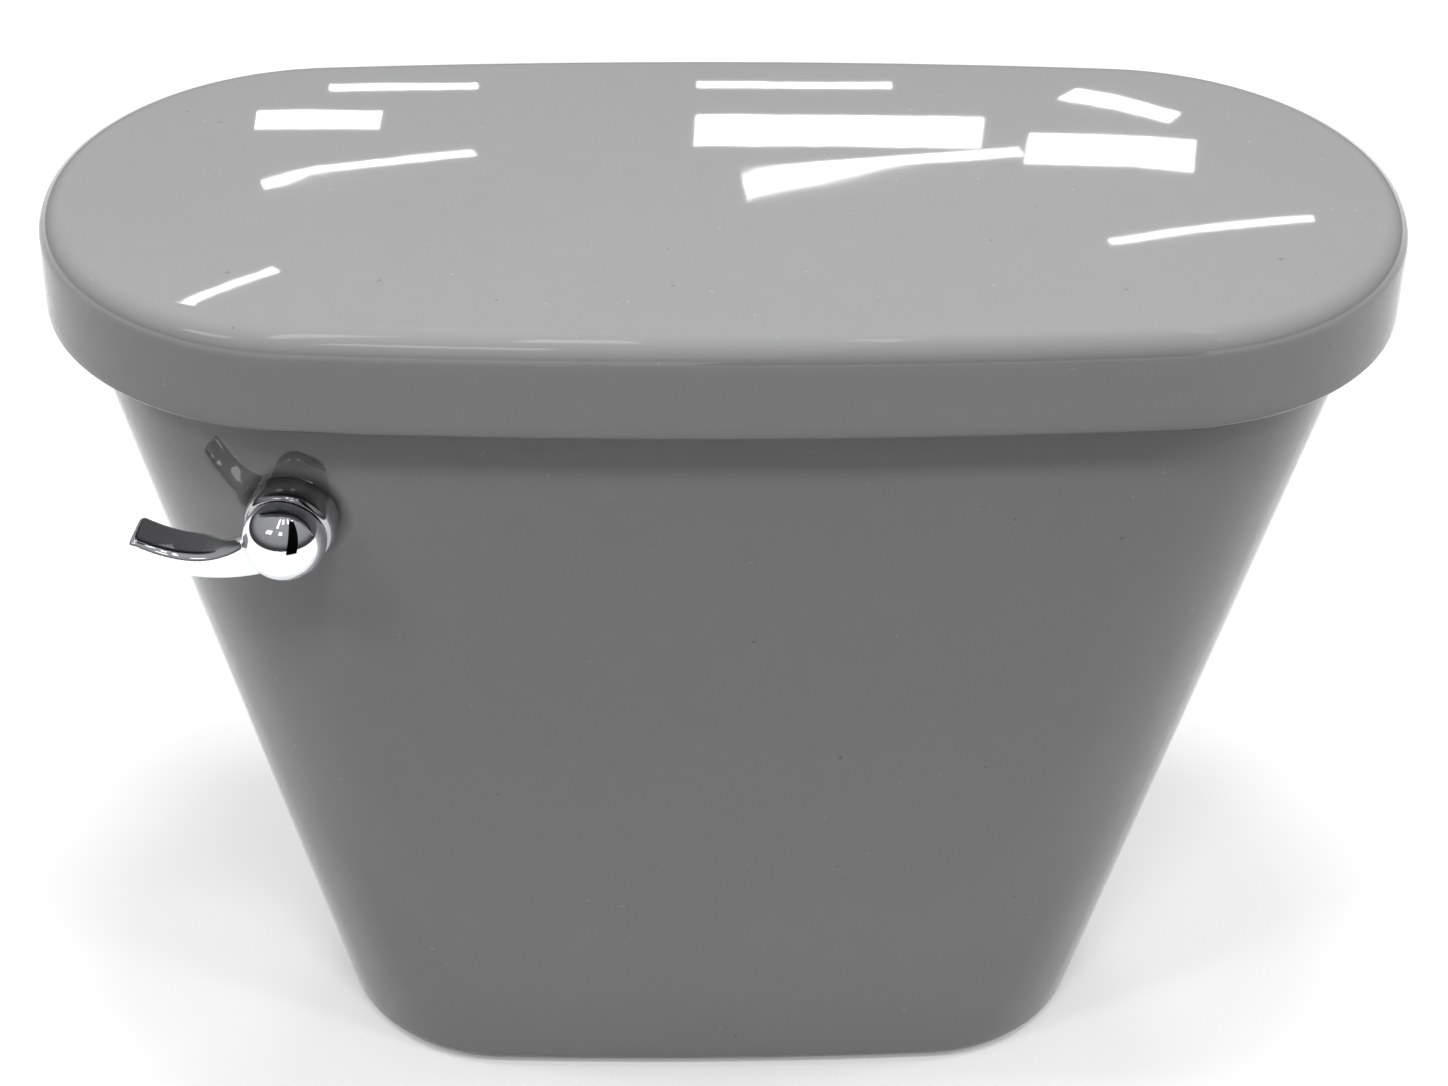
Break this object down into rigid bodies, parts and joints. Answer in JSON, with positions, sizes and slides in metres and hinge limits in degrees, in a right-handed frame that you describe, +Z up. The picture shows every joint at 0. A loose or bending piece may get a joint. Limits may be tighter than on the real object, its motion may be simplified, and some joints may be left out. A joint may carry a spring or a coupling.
{
  "type": "toilet cistern",
  "caption": "Tapered close-coupled toilet tank with an oval loose lid, a front trip lever, and the flush valve and fill valve inside it.",
  "frame": {"origin": "on the outlet's axis, in the plane of the tank's foot", "axes": "+X to the viewer's right, +Y towards the wall behind, +Z up"},
  "size_m": [0.51, 0.2292, 0.387],
  "materials": {
    "china": "glossy grey glaze",
    "chrome": "polished",
    "brass": "turned, dull",
    "steel": "plain stainless",
    "black_rubber": "matt",
    "red_rubber": "matt",
    "white_plastic": "moulded, satin",
    "grey_plastic": "moulded, satin",
    "black_plastic": "moulded, satin",
    "clear_plastic": "milky vinyl tube"
  },
  "bodies": {
    "tank": {"tank": "china", "lever_bushing": "chrome", "lever_nut": "brass", "flush_valve_body": "white_plastic", "overflow_tube": "white_plastic", "flush_valve_washer": "black_rubber", "flush_valve_nut": "black_plastic", "bowl_gasket": "black_rubber", "fill_valve_shank": "grey_plastic", "fill_valve_washer": "black_rubber", "fill_valve_nut": "white_plastic", "fill_valve_riser": "white_plastic", "fill_valve_lock_ring": "black_plastic", "fill_valve_cap": "grey_plastic", "fill_valve_seal": "black_rubber", "fill_valve_arm_pin": "steel", "refill_tube": "clear_plastic", "refill_clip": "grey_plastic", "tank_bolt_left": "brass", "tank_bolt_right": "brass", "bolt_seal_left": "black_rubber", "bolt_seal_right": "black_rubber", "bolt_washer_left": "steel", "bolt_washer_right": "steel", "bolt_nut_left": "brass", "bolt_nut_right": "brass"},
    "lid": {"lid": "china"},
    "handle": {"lever_handle": "chrome", "trip_arm": "brass", "arm_set_screw": "steel"},
    "chain": {"chain_hook": "steel", "chain": "steel", "chain_ring": "steel"},
    "flapper": {"flapper": "red_rubber"},
    "float": {"fill_valve_float": "black_plastic", "float_adjust_rod": "steel", "float_adjust_clip": "steel"},
    "valve_arm": {"fill_valve_arm": "grey_plastic"}
  },
  "joints": [
    {"name": "lid_lift", "type": "slide", "parent": "tank", "child": "lid", "axis": [0, 0, 1], "range_m": [0, 0.2]},
    {"name": "handle_turn", "type": "hinge", "parent": "tank", "child": "handle", "pos_m": [-0.159, -0.10302, 0.299], "axis": [-0.1963, -0.9726, -0.1241], "range_deg": [0, 14]},
    {"name": "chain_swing", "type": "hinge", "parent": "handle", "child": "chain", "pos_m": [-0.022, 0, 0.278], "axis": [0.2938, 0.9559, 0], "range_deg": [0, 14.5]},
    {"name": "flapper_lift", "type": "hinge", "parent": "tank", "child": "flapper", "pos_m": [0.052, 0, 0.1], "axis": [0, 1, 0], "range_deg": [0, 22.6]},
    {"name": "float_rise", "type": "slide", "parent": "tank", "child": "float", "axis": [0, 0, 1], "range_m": [0, 0.009]},
    {"name": "valve_arm_turn", "type": "hinge", "parent": "tank", "child": "valve_arm", "pos_m": [-0.114, 0.009, 0.3], "axis": [1, 0, 0], "range_deg": [0, 14.2]}
  ],
  "couplings": [
    {"joint": "chain_swing", "follows": "handle_turn", "ratio": 1.0081},
    {"joint": "flapper_lift", "follows": "handle_turn", "ratio": 1.5997},
    {"joint": "valve_arm_turn", "follows": "float_rise", "rad_per_m": 27.027}
  ]
}
